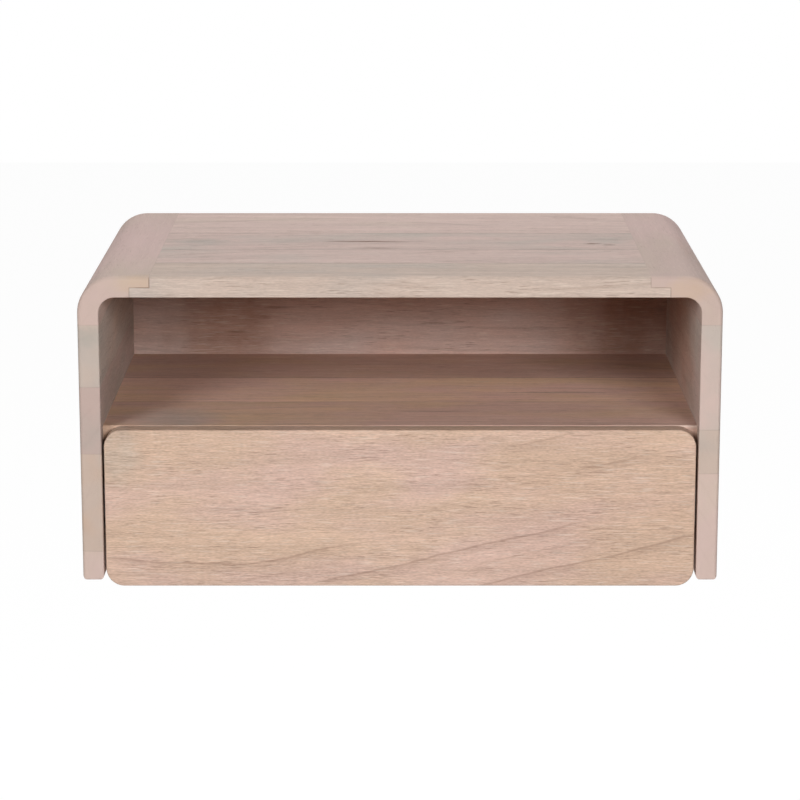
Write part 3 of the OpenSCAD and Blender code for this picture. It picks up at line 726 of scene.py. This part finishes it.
def add_floor(studio):
    """A plain pale floor far below the table, white to the camera and still taking shadows. From
    under it the table can be seen through it."""
    height = CAD_BOX[LOW][Z] - studio.floor_drop
    corners = [(FLOOR_HALF * x, FLOOR_HALF * y, height)
               for x, y in ((-1, -1), (1, -1), (1, 1), (-1, 1))]
    mesh = bpy.data.meshes.new("floor")
    mesh.from_pydata(corners, [], [(0, 1, 2, 3)])
    floor = bpy.data.objects.new("floor", mesh)
    bpy.context.scene.collection.objects.link(floor)
    graph = Graph(bpy.data.materials.new("pale_floor"))
    x, y, z = graph.place()
    mottle = graph.noise(x / 400, y / 400, z / 400, 2.0)
    matte = graph.add("ShaderNodeBsdfDiffuse", {}, {"Color": graph.mix(mottle, *FLOOR_TONES)})
    glow = graph.add("ShaderNodeEmission", {}, {"Color": WHITE, "Strength": FLOOR_GLOW})
    seen = graph.add("ShaderNodeLightPath", {}, {}, "Is Camera Ray") * FLOOR_GLOW_SHARE
    from_over = graph.add("ShaderNodeMixShader", {}, {0: seen, 1: matte, 2: glow})
    clear = graph.add("ShaderNodeBsdfTransparent", {}, {})
    under = graph.add("ShaderNodeNewGeometry", {}, {}, "Backfacing")
    shown = graph.add("ShaderNodeMixShader", {}, {0: under, 1: from_over, 2: clear})
    graph.add("ShaderNodeOutputMaterial", {}, {"Surface": shown})
    mesh.materials.append(graph.owner)


def add_sky(studio):
    """White to the camera and in reflections, and an even grey light otherwise."""
    world = bpy.data.worlds.new("studio")
    bpy.context.scene.world = world
    graph = Graph(world)
    rays = [graph.add("ShaderNodeLightPath", {}, {}, ray)
            for ray in ("Is Camera Ray", "Is Glossy Ray")]
    strength = studio.sky + (1 - studio.sky) * largest(rays)
    background = graph.add("ShaderNodeBackground", {}, {"Color": WHITE, "Strength": strength})
    graph.add("ShaderNodeOutputWorld", {}, {"Surface": background})


class TABLE_OT_stage(bpy.types.Operator):
    """Set up the camera, the lamps, the sky and the pale floor"""
    bl_idname = "table.stage"
    bl_label = "Studio"

    def execute(self, context):
        context.scene.view_settings.view_transform = "Standard"
        studio = context.scene.studio
        add_camera(studio)
        for lamp in LAMPS:
            add_lamp(*lamp, studio.lamp_distance)
        add_floor(studio)
        add_sky(studio)
        return {"FINISHED"}


STEPS = (TABLE_OT_case_boards, TABLE_OT_drawer_front, TABLE_OT_drawer_box, TABLE_OT_slides,
         TABLE_OT_fittings, TABLE_OT_stage)
GROUPS = (("wood_finish", WoodFinish), ("metal_finish", MetalFinish), ("studio", Studio))


class TABLE_PT_sidebar(bpy.types.Panel):
    bl_label = "Floating side table"
    bl_idname = "TABLE_PT_sidebar"
    bl_space_type = "VIEW_3D"
    bl_region_type = "UI"
    bl_category = "Side Table"

    def draw(self, context):
        for attribute, group in GROUPS:
            box = self.layout.box()
            for name in group.__annotations__:
                box.prop(getattr(context.scene, attribute), name)
        for step in STEPS:
            self.layout.operator(step.bl_idname)


def register():
    for name, group in GROUPS:
        bpy.utils.register_class(group)
        setattr(bpy.types.Scene, name, PointerProperty(type=group))
    for step in STEPS:
        bpy.utils.register_class(step)
    bpy.utils.register_class(TABLE_PT_sidebar)


def unregister():
    bpy.utils.unregister_class(TABLE_PT_sidebar)
    for step in reversed(STEPS):
        bpy.utils.unregister_class(step)
    for name, group in reversed(GROUPS):
        delattr(bpy.types.Scene, name)
        bpy.utils.unregister_class(group)


def main():
    register()
    bpy.ops.table.case_boards()
    bpy.ops.table.drawer_front()
    bpy.ops.table.drawer_box()
    bpy.ops.table.slides()
    bpy.ops.table.fittings()
    bpy.ops.table.stage()


if __name__ == "__main__":
    main()
